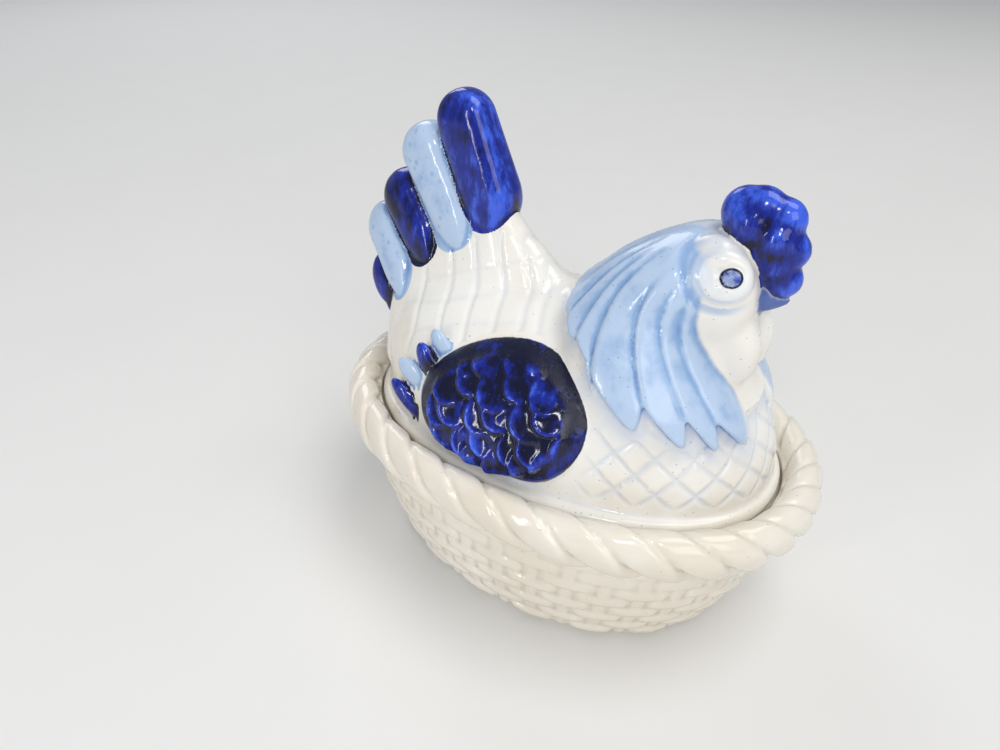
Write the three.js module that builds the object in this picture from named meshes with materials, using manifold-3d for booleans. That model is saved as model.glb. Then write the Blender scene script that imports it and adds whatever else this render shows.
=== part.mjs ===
// A lidded pottery dish: an oval basket-weave dish with a rope rim, and a hen that lifts off it as the lid.
// Millimetres. +X is towards the hen's beak, +Z is up, and the origin is the centre of the foot.
import * as THREE from "three";
import { mergeVertices } from "three/addons/utils/BufferGeometryUtils.js";
import Module from "manifold-3d";

const wasm = await Module();
wasm.setup();
const degrees = Math.PI / 180;
const fullTurn = 2 * Math.PI;

// Driving dimensions of the dish
const foot = { halfLength: 73, halfWidth: 53.5, bevel: 1.6, recess: 1.4, ringWidth: 9 };
const wall = { height: 53, halfLength: 92, halfWidth: 62.5, belly: 2.4, thickness: 5.5, floor: 6.5 };
const weave = { stakes: 30, rows: 5, relief: 1.4, stakeProud: 0.5, plainBand: 4 };
const rope = {
  halfLength: 95.5, halfWidth: 64, height: 59, halfThick: 7, halfTall: 10,
  strands: 32, lobes: 2, groove: 2.8,
};
const ledge = { height: 57, width: 6 };

// Driving dimensions of the hen
const lid = { halfLength: 87, halfWidth: 56, thickness: 7, sideClearance: 1, seatGap: 0.3, edgeRound: 2.4 };
const body = { front: 84, back: 84, halfWidth: 51, height: 57 };
const shell = { thickness: 5 };
const neck = { reach: 64, depth: 43.5, halfWidth: 42, base: 99, height: 57.3 };
const bust = { centre: 31, halfLength: 48, halfWidth: 44, height: 76 };
const cape = { openFront: 12, relief: 2.8, point: 7 };
const tail = { back: 101, base: 64, height: 122, halfThick: 38 };
const feather = { halfThick: 7.5, proud: 2.2, sunk: 1, crown: 11, footRound: 9, fullness: 3 };
const comb = { front: 80, top: 171.6, bulb: 9, flatShare: 0.8 };
const beak = { length: 14.8, halfHeight: 8.2, halfWidth: 6.5, bury: 6, back: 61.5, height: 137.6 };
const eye = { radius: 3.6, proud: 1.4, bury: 1.6, discRadius: 11, discProud: 1.2, discBury: 3.6 };
const face = { halfLength: 20.5, halfWidth: 14, halfThick: 15.3, forward: 50.9, drop: 5.3 };
const wattle = { halfLength: 11, halfWidth: 5.2, halfThick: 6.5, apart: 9.4, forward: 61.5, drop: 23.6 };
const wing = {
  forward: -5, height: 84.5, halfLength: 36.5, halfHeight: 25, tilt: 13, proud: 5.5, bury: 5,
  scallop: 1, scallops: 7,
};
const wingTip = { halfLength: 9, halfWidth: 4.6, halfThick: 4.4 };
const cutOver = 4;
const fullness = 2.15;
const extraFullness = 0.25;

// Facets round and along each form
const facets = {
  wall: 120, rope: 128, perLobe: 5, cavity: 40, body: 40, tail: 18, feather: 12, featherLength: 7,
  bulb: 8, wingTip: 8, wing: 24, eyeDisc: 14, eye: 8, face: 16, perLappet: 4, front: 6,
  neckRows: 9, bodyRows: 10, tailRows: 8, hollowRows: 6, neckHollowRows: 5,
};

// A smooth curve through table rows of any width, with t from 0 to 1 along the table
function along(rows, t) {
  const place = t * (rows.length - 1);
  const i = Math.min(Math.floor(place), rows.length - 2);
  const f = place - i;
  const row = (k) => rows[Math.min(Math.max(k, 0), rows.length - 1)];
  return rows[i].map((_, c) => {
    const [p0, p1, p2, p3] = [row(i - 1)[c], row(i)[c], row(i + 1)[c], row(i + 2)[c]];
    const m1 = (p2 - p0) / 2;
    const m2 = (p3 - p1) / 2;
    return (2 * f ** 3 - 3 * f ** 2 + 1) * p1 + (f ** 3 - 2 * f ** 2 + f) * m1 +
      (3 * f ** 2 - 2 * f ** 3) * p2 + (f ** 3 - f ** 2) * m2;
  });
}

// A point on a rounded oval, whose squareness is 2 for an ellipse and more for a squarer one
function ovalPoint(angle, front, back, halfWidth, squareness) {
  const c = Math.cos(angle);
  const s = Math.sin(angle);
  const k = (Math.abs(c) ** squareness + Math.abs(s) ** squareness) ** (-1 / squareness);
  return [(c > 0 ? front : back) * c * k, halfWidth * s * k];
}

const angles = (count) => Array.from({ length: count }, (_, i) => (i / count) * fullTurn);
const steps = (count) => Array.from({ length: count + 1 }, (_, i) => i / count);
const smooth = (t) => {
  const x = Math.min(Math.max(t, 0), 1);
  return x * x * (3 - 2 * x);
};

// A closed skin over rings of points: open rings are capped at both ends, and joined ones close on themselves
function skin(rings, joined = false) {
  const across = rings[0].length;
  const points = rings.flat().map((p) => [...p]);
  const faces = [];
  const last = joined ? rings.length : rings.length - 1;
  for (let r = 0; r < last; r++) {
    const next = (r + 1) % rings.length;
    for (let i = 0; i < across; i++) {
      const j = (i + 1) % across;
      const [a, b, c, d] = [r * across + i, r * across + j, next * across + j, next * across + i];
      faces.push(a, b, c, a, c, d);
    }
  }
  if (!joined) {
    const middle = (ring) => [0, 1, 2].map((k) => ring.reduce((sum, p) => sum + p[k], 0) / across);
    const low = points.push(middle(rings[0])) - 1;
    const high = points.push(middle(rings[rings.length - 1])) - 1;
    const top = (rings.length - 1) * across;
    for (let i = 0; i < across; i++) {
      const j = (i + 1) % across;
      faces.push(low, j, i, high, top + i, top + j);
    }
  }
  const geometry = new THREE.BufferGeometry();
  geometry.setAttribute("position", new THREE.Float32BufferAttribute(points.flat(), 3));
  geometry.setIndex(faces);
  return geometry;
}

function solid(geometry) {
  const bare = geometry.index ? geometry.clone() : geometry;
  bare.deleteAttribute("normal");
  bare.deleteAttribute("uv");
  const merged = mergeVertices(bare, 1e-4);
  const made = new wasm.Manifold(new wasm.Mesh({
    numProp: 3,
    vertProperties: merged.attributes.position.array,
    triVerts: new Uint32Array(merged.index.array),
  }));
  return made.volume() < 0 ? turnedOut(merged) : made;
}

function turnedOut(geometry) {
  const faces = new Uint32Array(geometry.index.array);
  for (let i = 0; i < faces.length; i += 3) [faces[i + 1], faces[i + 2]] = [faces[i + 2], faces[i + 1]];
  return new wasm.Manifold(new wasm.Mesh({
    numProp: 3,
    vertProperties: geometry.attributes.position.array,
    triVerts: faces,
  }));
}

const joinAll = (solids) => solids.reduce((whole, piece) => whole.add(piece));

function toGeometry(manifold) {
  const mesh = manifold.getMesh();
  const geometry = new THREE.BufferGeometry();
  const places = new Float32Array(mesh.numVert * 3);
  for (let i = 0; i < mesh.numVert; i++) {
    places.set(mesh.vertProperties.subarray(i * mesh.numProp, i * mesh.numProp + 3), i * 3);
  }
  geometry.setAttribute("position", new THREE.BufferAttribute(places, 3));
  geometry.setIndex(new THREE.BufferAttribute(mesh.triVerts, 1));
  return geometry;
}

// An upright oval block between two heights
function ovalBlock(halfLength, halfWidth, low, high, count) {
  return skin([low, high].map((z) =>
    angles(count).map((a) => [...ovalPoint(a, halfLength, halfLength, halfWidth, fullness), z])));
}

// The dish

// Weavers pass over one stake and under the next, and every other row starts one stake on
function weaveRelief(angle, height) {
  const band = (wall.height - foot.bevel - weave.plainBand) / weave.rows;
  const level = (height - foot.bevel) / band;
  if (level <= 0 || level >= weave.rows) return 0;
  const row = Math.floor(level);
  const across = Math.sin((level - row) * Math.PI) ** 0.6;
  const phase = (angle / fullTurn) * weave.stakes;
  const over = Math.cos((phase + row) * Math.PI);
  const stake = Math.cos((phase - Math.round(phase)) * Math.PI) ** 4 * weave.stakeProud;
  return Math.max(weave.relief * over * across, stake);
}

function wallRing(z, relief) {
  const t = z / wall.height;
  const swell = wall.belly * Math.sin(t * Math.PI);
  const length = foot.halfLength + (wall.halfLength - foot.halfLength) * t + swell;
  const width = foot.halfWidth + (wall.halfWidth - foot.halfWidth) * t + swell;
  return angles(facets.wall).map((a) => {
    const out = relief ? weaveRelief(a, z) : 0;
    return [...ovalPoint(a, length + out, length + out, width + out, fullness), z];
  });
}

function basketWall() {
  const bevelRing = ovalPointsAt(foot.halfLength - foot.bevel, foot.halfWidth - foot.bevel, 0);
  const rings = [bevelRing, wallRing(foot.bevel, false)];
  const band = (wall.height - foot.bevel - weave.plainBand) / weave.rows;
  const rowShares = [0.18, 0.82];
  for (let row = 0; row < weave.rows; row++) {
    for (const share of rowShares) rings.push(wallRing(foot.bevel + (row + share) * band, true));
  }
  rings.push(wallRing(wall.height, false));
  const top = ovalPointsAt(wall.halfLength, wall.halfWidth, ledge.height + cutOver);
  return solid(skin([...rings, top]));
}

function ovalPointsAt(length, width, z) {
  return angles(facets.wall).map((a) => [...ovalPoint(a, length, length, width, fullness), z]);
}

// A laid rope: its section's lobes turn as the section travels round the rim, so each edge follows a groove
function ropeRim() {
  const turns = rope.strands / rope.lobes;
  const spots = angles(rope.lobes * facets.perLobe);
  const aside = fullTurn / facets.rope;
  const sections = angles(facets.rope).map((a) => {
    const [x, y] = ovalPoint(a, rope.halfLength, rope.halfLength, rope.halfWidth, fullness);
    const [nextX, nextY] = ovalPoint(a + aside, rope.halfLength, rope.halfLength, rope.halfWidth, fullness);
    const [lastX, lastY] = ovalPoint(a - aside, rope.halfLength, rope.halfLength, rope.halfWidth, fullness);
    const out = new THREE.Vector2(nextY - lastY, lastX - nextX).normalize();
    return spots.map((spot, i) => {
      const b = spot - turns * a;
      const lobe = Math.sin(((i % facets.perLobe) / facets.perLobe) * Math.PI);
      const inset = rope.groove * (1 - lobe ** 0.7);
      const reach = (rope.halfThick - inset) * Math.cos(b);
      return [x + out.x * reach, y + out.y * reach, rope.height + (rope.halfTall - inset) * Math.sin(b)];
    });
  });
  return solid(skin(sections, true));
}

function nestDish() {
  const mouthLength = lid.halfLength - ledge.width;
  const mouthWidth = lid.halfWidth - ledge.width;
  const floorLength = foot.halfLength - wall.thickness;
  const floorWidth = foot.halfWidth - wall.thickness;
  const cavityShares = [[0.8, 0.8, 0], [0.96, 0.95, 0.06], [1, 1, 0.2]];
  const rings = cavityShares.map(([l, w, h]) =>
    ringOf(floorLength * l, floorWidth * w, wall.floor + h * (ledge.height - wall.floor)));
  rings.push(ringOf(mouthLength, mouthWidth, ledge.height + cutOver));
  const seat = ovalBlock(lid.halfLength + lid.sideClearance, lid.halfWidth + lid.sideClearance,
    ledge.height, rope.height + rope.halfTall + cutOver, facets.cavity * 2);
  const recess = ovalBlock(foot.halfLength - foot.ringWidth, foot.halfWidth - foot.ringWidth,
    -cutOver, foot.recess, facets.cavity);
  return [solid(skin(rings)), solid(seat), solid(recess)]
    .reduce((whole, cut) => whole.subtract(cut), basketWall().add(ropeRim()));
}

function ringOf(length, width, z) {
  return angles(facets.cavity).map((a) => [...ovalPoint(a, length, length, width, fullness), z]);
}

// The hen

// Height, front, back and half-width of the body's level outlines, as shares of its height, reach and width
const bodyLevelShares = [
  [0, 1, 1, 1], [0.15, 0.99, 0.995, 0.972], [0.33, 0.955, 0.98, 0.915], [0.5, 0.89, 0.95, 0.83],
  [0.67, 0.76, 0.91, 0.69], [0.8, 0.6, 0.86, 0.54], [0.9, 0.42, 0.8, 0.37], [0.97, 0.22, 0.72, 0.2],
  [1, 0.06, 0.64, 0.08],
];
const lidTop = ledge.height + lid.seatGap + lid.thickness;

function bodyLevel(t, inset = 0) {
  const [h, front, back, width] = along(bodyLevelShares, t);
  return {
    z: lidTop + h * body.height - (inset > 0 ? inset * t : 0),
    front: Math.max(front * body.front - inset, inset),
    back: Math.max(back * body.back - inset, inset),
    halfWidth: Math.max(width * body.halfWidth - inset, inset),
  };
}

// The body's outline grows squarer over its first third
const bodyFullness = (t) => fullness + extraFullness * smooth(t * 3);

function bodyRing(t, inset = 0) {
  const { z, front, back, halfWidth } = bodyLevel(t, inset);
  const squareness = bodyFullness(t);
  return angles(facets.body).map((a) => [...ovalPoint(a, front, back, halfWidth, squareness), z]);
}

// Half-width of the body at a place on its flank
function flank(x, z) {
  let [low, high] = [0, 1];
  for (let i = 0; i < 24; i++) {
    const t = (low + high) / 2;
    if (bodyLevel(t).z < z) low = t;
    else high = t;
  }
  const { front, back, halfWidth } = bodyLevel(low);
  const share = Math.min(Math.abs(x) / (x > 0 ? front : back), 1);
  const squareness = bodyFullness(low);
  return halfWidth * (1 - share ** squareness) ** (1 / squareness);
}

function lidRings() {
  const bottom = ledge.height + lid.seatGap;
  const ring = (inset, z) => angles(facets.body).map((a) =>
    [...ovalPoint(a, lid.halfLength - inset, lid.halfLength - inset, lid.halfWidth - inset, fullness), z]);
  return [ring(lid.edgeRound / 2, bottom), ring(0, bottom + lid.edgeRound),
    ring(0, lidTop - lid.edgeRound), ring(lid.edgeRound, lidTop)];
}

function bodyShell() {
  const rings = lidRings();
  for (const t of steps(facets.bodyRows)) rings.push(bodyRing(t));
  return solid(skin(rings));
}

// The hollow runs up the body between these shares of its height
const hollowShares = { from: 0.06, to: 0.92 };

function hollow() {
  const inset = ledge.width + shell.thickness / 2;
  const [length, width] = [lid.halfLength - inset, lid.halfWidth - inset];
  const ring = (up) => angles(facets.body).map((a) =>
    [...ovalPoint(a, length, length, width, fullness), ledge.height + up]);
  const rings = [ring(-cutOver), ring(lid.thickness)];
  for (const t of steps(facets.hollowRows)) {
    rings.push(bodyRing(hollowShares.from + (hollowShares.to - hollowShares.from) * t, shell.thickness));
  }
  return solid(skin(rings));
}

// Centre forward, centre height, depth, half-width and lean of the rings up the neck and over the head
const neckShares = [
  [0.586, 0, 1, 1, 0.87], [0.578, 0.139, 0.956, 0.94, 0.8], [0.578, 0.287, 0.818, 0.833, 0.86],
  [0.578, 0.444, 0.632, 0.702, 0.95], [0.609, 0.593, 0.494, 0.595, 1.09], [0.695, 0.746, 0.405, 0.512, 1.03],
  [0.789, 0.876, 0.326, 0.405, 0.87], [0.836, 0.959, 0.202, 0.262, 0.75], [0.85, 1, 0.05, 0.07, 0.5],
];
const neckLean = 20 * degrees;

function neckPoint(t, angle, out) {
  const [x, h, depth, width, lean] = along(neckShares, t);
  const a = depth * neck.depth + out;
  const b = width * neck.halfWidth + out;
  const forward = a * Math.cos(angle);
  return [
    x * neck.reach + forward * Math.cos(lean * neckLean),
    b * Math.sin(angle),
    neck.base + h * neck.height - forward * Math.sin(lean * neckLean),
  ];
}

// The neck goes on down inside the body as far as its bust
function bustPoint(angle, out) {
  const forward = (bust.halfLength + out) * Math.cos(angle);
  return [bust.centre + forward, (bust.halfWidth + out) * Math.sin(angle), bust.height];
}

// Where the lappets meet at their feet, in degrees round from the beak: four broad ones, then narrower ones
const lappetEdges = [cape.openFront, 32, 46, 66, 95, 113, 132, 154, 180];

// Up the neck the lappets sweep towards the nape
const sweepShare = 0.7;
const swept = (angle, t) => Math.PI * (Math.abs(angle) / Math.PI) ** (1 - sweepShare * t) * Math.sign(angle);

function capeColumns() {
  const columns = [];
  for (let i = 0; i < facets.front; i++) {
    const angle = cape.openFront * ((2 * i) / facets.front - 1) * degrees;
    columns.push({ angle, share: 0 });
  }
  const side = [];
  for (let k = 0; k < lappetEdges.length - 1; k++) {
    for (let i = 0; i < facets.perLappet; i++) {
      const across = i / facets.perLappet;
      const angle = (lappetEdges[k] + across * (lappetEdges[k + 1] - lappetEdges[k])) * degrees;
      columns.push({ angle, share: Math.sin(across * Math.PI) ** 0.6 });
      side.push({ angle: -angle, share: Math.sin(across * Math.PI) ** 0.6 });
    }
  }
  columns.push({ angle: Math.PI, share: 0 });
  return [...columns, ...side.slice(1).reverse()];
}

// The cape's lower edge, as a share of the way up the neck: level in front, with two rises towards the nape
const capeFrontShare = 0.02;
const capeRises = [{ share: 0.14, from: 88, over: 24 }, { share: 0.12, from: 115, over: 65 }];

function capeFoot({ angle, share }) {
  const round = Math.abs(angle) / degrees;
  const rise = capeRises.reduce((sum, r) => sum + r.share * smooth((round - r.from) / r.over), 0);
  return capeFrontShare + rise + (cape.point / neck.height) * (1 - share);
}

// Lappets hang from the crown as pointed lobes, with an open throat in front, and fade into the head
const capeFade = { from: 0.5, over: 0.25 };
const capeSunkShare = 0.4;

function neckAndCape() {
  const columns = capeColumns();
  const rings = [columns.map((c) => bustPoint(c.angle, 0)),
    columns.map((c) => neckPoint(0, c.angle, -cape.relief)),
    columns.map((c) => neckPoint(capeFoot(c), swept(c.angle, capeFoot(c)), -cape.relief))];
  for (const row of steps(facets.neckRows)) {
    rings.push(columns.map((c) => {
      const t = capeFoot(c) + (1 - capeFoot(c)) * row;
      const fade = 1 - smooth((t - capeFade.from) / capeFade.over);
      return neckPoint(t, swept(c.angle, t), cape.relief * (c.share - capeSunkShare) * fade);
    }));
  }
  return solid(skin(rings));
}

// The hollow goes on up the neck, as far as this share of it
const neckHollowShare = 0.66;

function neckHollow() {
  const inset = -shell.thickness - cape.relief;
  const rings = steps(facets.neckHollowRows).map((t) =>
    angles(facets.tail).map((a) => neckPoint(neckHollowShare * t, a, inset)));
  return solid(skin([angles(facets.tail).map((a) => bustPoint(a, inset)), ...rings]));
}

// Height, front, back and half-thickness of the tail's root, as shares of its own sizes
const tailRootShares = [
  [0.1, -0.06, 0.86, 1], [0.24, -0.06, 0.86, 0.8], [0.335, -0.04, 0.845, 0.61], [0.42, 0, 0.82, 0.45],
  [0.5, 0.08, 0.78, 0.325], [0.6, 0.2, 0.7, 0.235], [0.7, 0.285, 0.62, 0.18], [0.82, 0.35, 0.6, 0.14],
  [0.91, 0.4, 0.56, 0.12],
];

function tailRoot() {
  const rings = steps(facets.tailRows).map((t) => {
    const [h, front, back, thick] = along(tailRootShares, t);
    const middle = (-(front + back) * tail.back) / 2;
    const reach = ((back - front) * tail.back) / 2;
    return angles(facets.tail).map((a) => {
      const [x, y] = ovalPoint(a, reach, reach, thick * tail.halfThick, fullness);
      return [middle + x, y, tail.base + h * tail.height];
    });
  });
  return solid(skin(rings));
}

// Half-thickness of the tail's root at a place seen from the side
function rootHalf(x, z) {
  let [low, high] = [0, 1];
  for (let i = 0; i < 20; i++) {
    const t = (low + high) / 2;
    if (along(tailRootShares, t)[0] < (z - tail.base) / tail.height) low = t;
    else high = t;
  }
  const [, front, back, thick] = along(tailRootShares, low);
  const off = Math.abs(x + ((front + back) * tail.back) / 2) / (((back - front) * tail.back) / 2);
  return thick * tail.halfThick * Math.max(1 - off ** fullness, 0) ** (1 / fullness);
}

// Foot and tip of each tail feather, and its half-width, as shares of the tail's reach and height
const featherTable = [
  { footShares: [0.364, 0.594], tipShares: [0.561, 0.985], widthShare: 0.0872 },
  { footShares: [0.469, 0.52], tipShares: [0.743, 0.857], widthShare: 0.101 },
  { footShares: [0.614, 0.449], tipShares: [0.874, 0.681], widthShare: 0.1 },
  { footShares: [0.713, 0.311], tipShares: [0.974, 0.553], widthShare: 0.091 },
  { footShares: [0.838, 0.184], tipShares: [0.967, 0.373], widthShare: 0.082 },
];

// How full a rounded end is at a distance from its tip
function roundEnd(left, radius) {
  const short = Math.max(1 - left / radius, 0);
  return Math.sqrt(Math.max(1 - short ** 2, 0.02));
}

// Each feather lies proud of the tail's root and ends round at its foot and its tip
function tailFeather({ footShares, tipShares, widthShare }) {
  const place = ([back, up]) => new THREE.Vector3(-back * tail.back, 0, tail.base + up * tail.height);
  const foot = place(footShares);
  const tip = place(tipShares);
  const up = tip.clone().sub(foot).normalize();
  const length = tip.distanceTo(foot);
  const across = new THREE.Vector3(up.z, 0, -up.x);
  const halfWidth = widthShare * tail.back;
  const rings = steps(facets.featherLength).map((row) => {
    const share = (1 - Math.cos(row * Math.PI)) / 2;
    const crown = roundEnd((1 - share) * length, feather.crown);
    const heel = roundEnd(share * length, feather.footRound);
    const centre = foot.clone().addScaledVector(up, share * length);
    const root = rootHalf(centre.x, centre.z);
    const lift = Math.max(feather.halfThick, root + feather.proud) - root + feather.sunk;
    const thick = Math.max(root - feather.sunk + lift * heel, feather.sunk) * crown;
    return angles(facets.feather).map((a) => {
      const [w, y] = ovalPoint(a, halfWidth * crown * heel, halfWidth * crown * heel, thick, feather.fullness);
      const p = centre.clone().addScaledVector(across, w);
      return [p.x, y, p.z];
    });
  });
  return solid(skin(rings));
}

// Place and size of each bulb of the comb, in bulb radii: forward, side and up from the comb's top front, and radius
const combBulbShares = [
  [-2.4, 0, -0.98, 0.98], [-1.95, 0, -0.83, 0.92], [-1.18, 0, -0.93, 0.78], [-0.79, 0, -1.92, 0.73],
  [-0.78, 0, -3, 0.69], [-1.67, 0, -1.95, 1], [-2.15, 0.5, -1.2, 0.72], [-1.2, 0.47, -1.55, 0.67],
  [-1.05, 0.39, -2.4, 0.58], [-1.84, 0, -2.92, 0.84],
];

function ball(x, y, z, [a, b, c], turn = 0, count = facets.bulb) {
  const geometry = new THREE.SphereGeometry(1, count, count / 2 + 1);
  geometry.scale(a, b, c);
  geometry.rotateY(turn);
  geometry.translate(x, y, z);
  return geometry;
}

function combSolids() {
  return combBulbShares.flatMap(([forward, side, up, size]) => {
    const radius = size * comb.bulb;
    const place = (sign) => solid(ball(comb.front + forward * comb.bulb, sign * side * comb.flatShare * comb.bulb,
      comb.top + up * comb.bulb, [radius, radius * comb.flatShare, radius]));
    return side ? [place(1), place(-1)] : [place(1)];
  });
}

// A short beak that tapers forward from the face: how far out, and how big, each ring is
const beakShares = [[0, 1], [0.4, 0.8], [0.75, 0.45], [1, 0.12]];

function beakSolid() {
  const ring = (x, size) => angles(facets.feather).map((a) =>
    [x, beak.halfWidth * size * Math.cos(a), beak.height + beak.halfHeight * size * Math.sin(a)]);
  const rings = beakShares.map(([out, size]) => ring(beak.back + out * beak.length, size));
  return solid(skin([ring(beak.back - beak.bury, 1), ...rings]));
}

// The eye's place: how far up the neck's own rings, and how far round in degrees
const eyePlace = { upShare: 0.73, angle: 50 };

const nudge = { round: 0.05, up: 0.02 };

function surfaceFrame(t, angle) {
  const p = new THREE.Vector3(...neckPoint(t, angle, 0));
  const side = new THREE.Vector3(...neckPoint(t, angle + nudge.round, 0)).sub(p);
  const rise = new THREE.Vector3(...neckPoint(t + nudge.up, angle, 0)).sub(p);
  const out = side.cross(rise).normalize();
  return { p, out };
}

// A low round cap with its centre on the skin of the head
function cap(t, angle, radius, proud, bury, count) {
  const { p, out } = surfaceFrame(t, angle);
  const u = new THREE.Vector3(0, 0, 1).cross(out).normalize();
  const v = out.clone().cross(u);
  const rows = [[1, -bury], [1, 0], [0.92, 0.45 * proud], [0.66, 0.84 * proud], [0.3, proud]];
  return solid(skin(rows.map(([size, up]) => angles(count).map((a) => p.clone()
    .addScaledVector(u, size * radius * Math.cos(a)).addScaledVector(v, size * radius * Math.sin(a))
    .addScaledVector(out, up).toArray()))));
}

function eyeSolids() {
  return [1, -1].flatMap((sign) => {
    const angle = sign * eyePlace.angle * degrees;
    return [
      cap(eyePlace.upShare, angle, eye.discRadius, eye.discProud, eye.discBury, facets.eyeDisc),
      cap(eyePlace.upShare, angle, eye.radius, eye.discProud + eye.proud, eye.bury, facets.eye),
    ];
  });
}

// The long face that the beak stands on
function faceSolid() {
  const sizes = [face.halfThick, face.halfWidth, face.halfLength];
  return solid(ball(face.forward, 0, beak.height - face.drop, sizes, 0, facets.face));
}

// Lobes that hang below the beak on either side
function wattleSolids() {
  const height = beak.height - wattle.drop;
  return [1, -1].map((sign) => solid(ball(wattle.forward, (sign * wattle.apart) / 2, height,
    [wattle.halfThick, wattle.halfWidth, wattle.halfLength])));
}

// The folded wing: an oval boss that follows the flank, with curled scallops over it
function wingBoss(sign) {
  const c = Math.cos(wing.tilt * degrees);
  const s = Math.sin(wing.tilt * degrees);
  const place = (u, v, out) => {
    const x = wing.forward + u * wing.halfLength * c - v * wing.halfHeight * s;
    const z = wing.height + u * wing.halfLength * s + v * wing.halfHeight * c;
    return [x, sign * (flank(x, Math.max(z, lidTop)) + out), z];
  };
  const rings = [];
  const rowShares = [[1, -wing.bury, 0], [1, 0, 0], [0.94, 0.5, 0], [0.8, 0.88, 1], [0.58, 1, -1], [0.36, 0.9, 1],
    [0.15, 1, 0]];
  for (const [size, rise, curl] of rowShares) {
    rings.push(angles(facets.wing).map((a) => {
      const out = rise < 0 ? rise : rise * wing.proud + curl * wing.scallop * Math.cos(wing.scallops * a);
      return place(size * Math.cos(a), size * Math.sin(a), out);
    }));
  }
  return solid(skin(rings));
}

// How far behind and above the wing's centre each small feather of its rear end is, its length, and its turn
const wingTipTable = [
  { backShare: 0.85, upShare: 0.54, longShare: 0.95, turn: 62 },
  { backShare: 0.97, upShare: 0.28, longShare: 0.95, turn: 62 },
  { backShare: 1.16, upShare: -0.02, longShare: 1, turn: 32 },
  { backShare: 1.21, upShare: -0.5, longShare: 1.28, turn: 38 },
];

function wingTips(sign) {
  return wingTipTable.map(({ backShare, upShare, longShare, turn }) => {
    const x = wing.forward - backShare * wing.halfLength;
    const z = wing.height + upShare * wing.halfHeight;
    const sizes = [longShare * wingTip.halfLength, wingTip.halfThick, wingTip.halfWidth];
    return solid(ball(x, sign * flank(x, z), z, sizes, turn * degrees, facets.wingTip));
  });
}

const dish = toGeometry(nestDish());
const hen = joinAll([
  bodyShell(), tailRoot(), neckAndCape(), ...featherTable.map(tailFeather),
]).subtract(hollow()).subtract(neckHollow()).add(joinAll([
  ...combSolids(), beakSolid(), faceSolid(), ...eyeSolids(), ...wattleSolids(),
  wingBoss(1), wingBoss(-1), ...wingTips(1), ...wingTips(-1),
]));

const cream = new THREE.MeshStandardMaterial({ color: 0xe9e4d8, roughness: 0.2, metalness: 0 });
const glaze = new THREE.MeshStandardMaterial({ color: 0xe4e4e0, roughness: 0.15, metalness: 0 });
const part = new THREE.Group();
const dishMesh = new THREE.Mesh(dish, cream);
dishMesh.name = "nest_dish";
const henMesh = new THREE.Mesh(toGeometry(hen), glaze);
henMesh.name = "hen_lid";
part.add(dishMesh, henMesh);

export default part;
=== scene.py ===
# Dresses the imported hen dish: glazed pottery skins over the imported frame, with studio light and a camera.
import bpy
import math
import numpy as np
from mathutils import Matrix, Vector
from mathutils.kdtree import KDTree


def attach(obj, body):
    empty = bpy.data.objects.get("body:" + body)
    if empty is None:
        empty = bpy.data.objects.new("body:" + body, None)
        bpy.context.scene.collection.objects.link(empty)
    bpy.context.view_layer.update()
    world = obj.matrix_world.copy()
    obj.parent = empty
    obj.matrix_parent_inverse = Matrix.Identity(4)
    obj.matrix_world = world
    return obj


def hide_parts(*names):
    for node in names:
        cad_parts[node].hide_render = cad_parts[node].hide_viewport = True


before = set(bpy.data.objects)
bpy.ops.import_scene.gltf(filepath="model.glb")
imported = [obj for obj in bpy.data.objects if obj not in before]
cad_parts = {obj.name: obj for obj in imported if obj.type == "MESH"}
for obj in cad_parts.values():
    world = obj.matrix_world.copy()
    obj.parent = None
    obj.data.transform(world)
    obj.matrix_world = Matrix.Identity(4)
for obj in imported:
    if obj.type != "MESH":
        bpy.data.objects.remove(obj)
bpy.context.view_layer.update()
mm = 0.001
fullTurn = 2 * math.pi
squareness = 2.15
far = 99.0
voxel = 0.62


def along(rows, t):
    # a smooth curve through table rows, for an array of t from 0 to 1
    rows = np.asarray(rows, float)
    place = np.clip(np.asarray(t, float), 0, 1) * (len(rows) - 1)
    i = np.minimum(place.astype(int), len(rows) - 2)
    f = (place - i)[..., None]
    row = lambda k: rows[np.clip(k, 0, len(rows) - 1)]
    p0, p1, p2, p3 = row(i - 1), row(i), row(i + 1), row(i + 2)
    m1, m2 = (p2 - p0) / 2, (p3 - p1) / 2
    return (2*f**3 - 3*f**2 + 1)*p1 + (f**3 - 2*f**2 + f)*m1 + (3*f**2 - 2*f**3)*p2 + (f**3 - f**2)*m2


def smooth(x):
    x = np.clip(x, 0, 1)
    return x * x * (3 - 2 * x)


def bell(gap, width):
    return np.exp(-(gap / width) ** 2)


def oval(angle, front, back, halfWidth, square=squareness):
    c, s = np.cos(angle), np.sin(angle)
    k = (np.abs(c)**square + np.abs(s)**square) ** (-1 / square)
    return np.where(c > 0, front, back) * c * k, halfWidth * s * k


def turns(count):
    return np.arange(count) / count * fullTurn


def bands(count, r, c):
    # triangles between neighbouring rings of c points, for the first of r rings
    i, j = np.meshgrid(np.arange(count), np.arange(c), indexing="ij")
    n, k = (i + 1) % r, (j + 1) % c
    quads = np.stack([i*c + j, i*c + k, n*c + k, n*c + j], -1).reshape(-1, 4)
    return np.concatenate([quads[:, [0, 1, 2]], quads[:, [0, 2, 3]]])


def loft(rings):
    # a closed skin over rings of points, fanned shut at both ends
    rings = np.asarray(rings, float)
    r, c, _ = rings.shape
    verts = np.concatenate([rings.reshape(-1, 3), rings[0].mean(0)[None], rings[-1].mean(0)[None]])
    a = np.arange(c)
    b = (a + 1) % c
    low = np.stack([np.full(c, r*c), b, a], -1)
    high = np.stack([np.full(c, r*c + 1), (r - 1)*c + a, (r - 1)*c + b], -1)
    return outward(verts, np.concatenate([bands(r - 1, r, c), low, high]))


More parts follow.
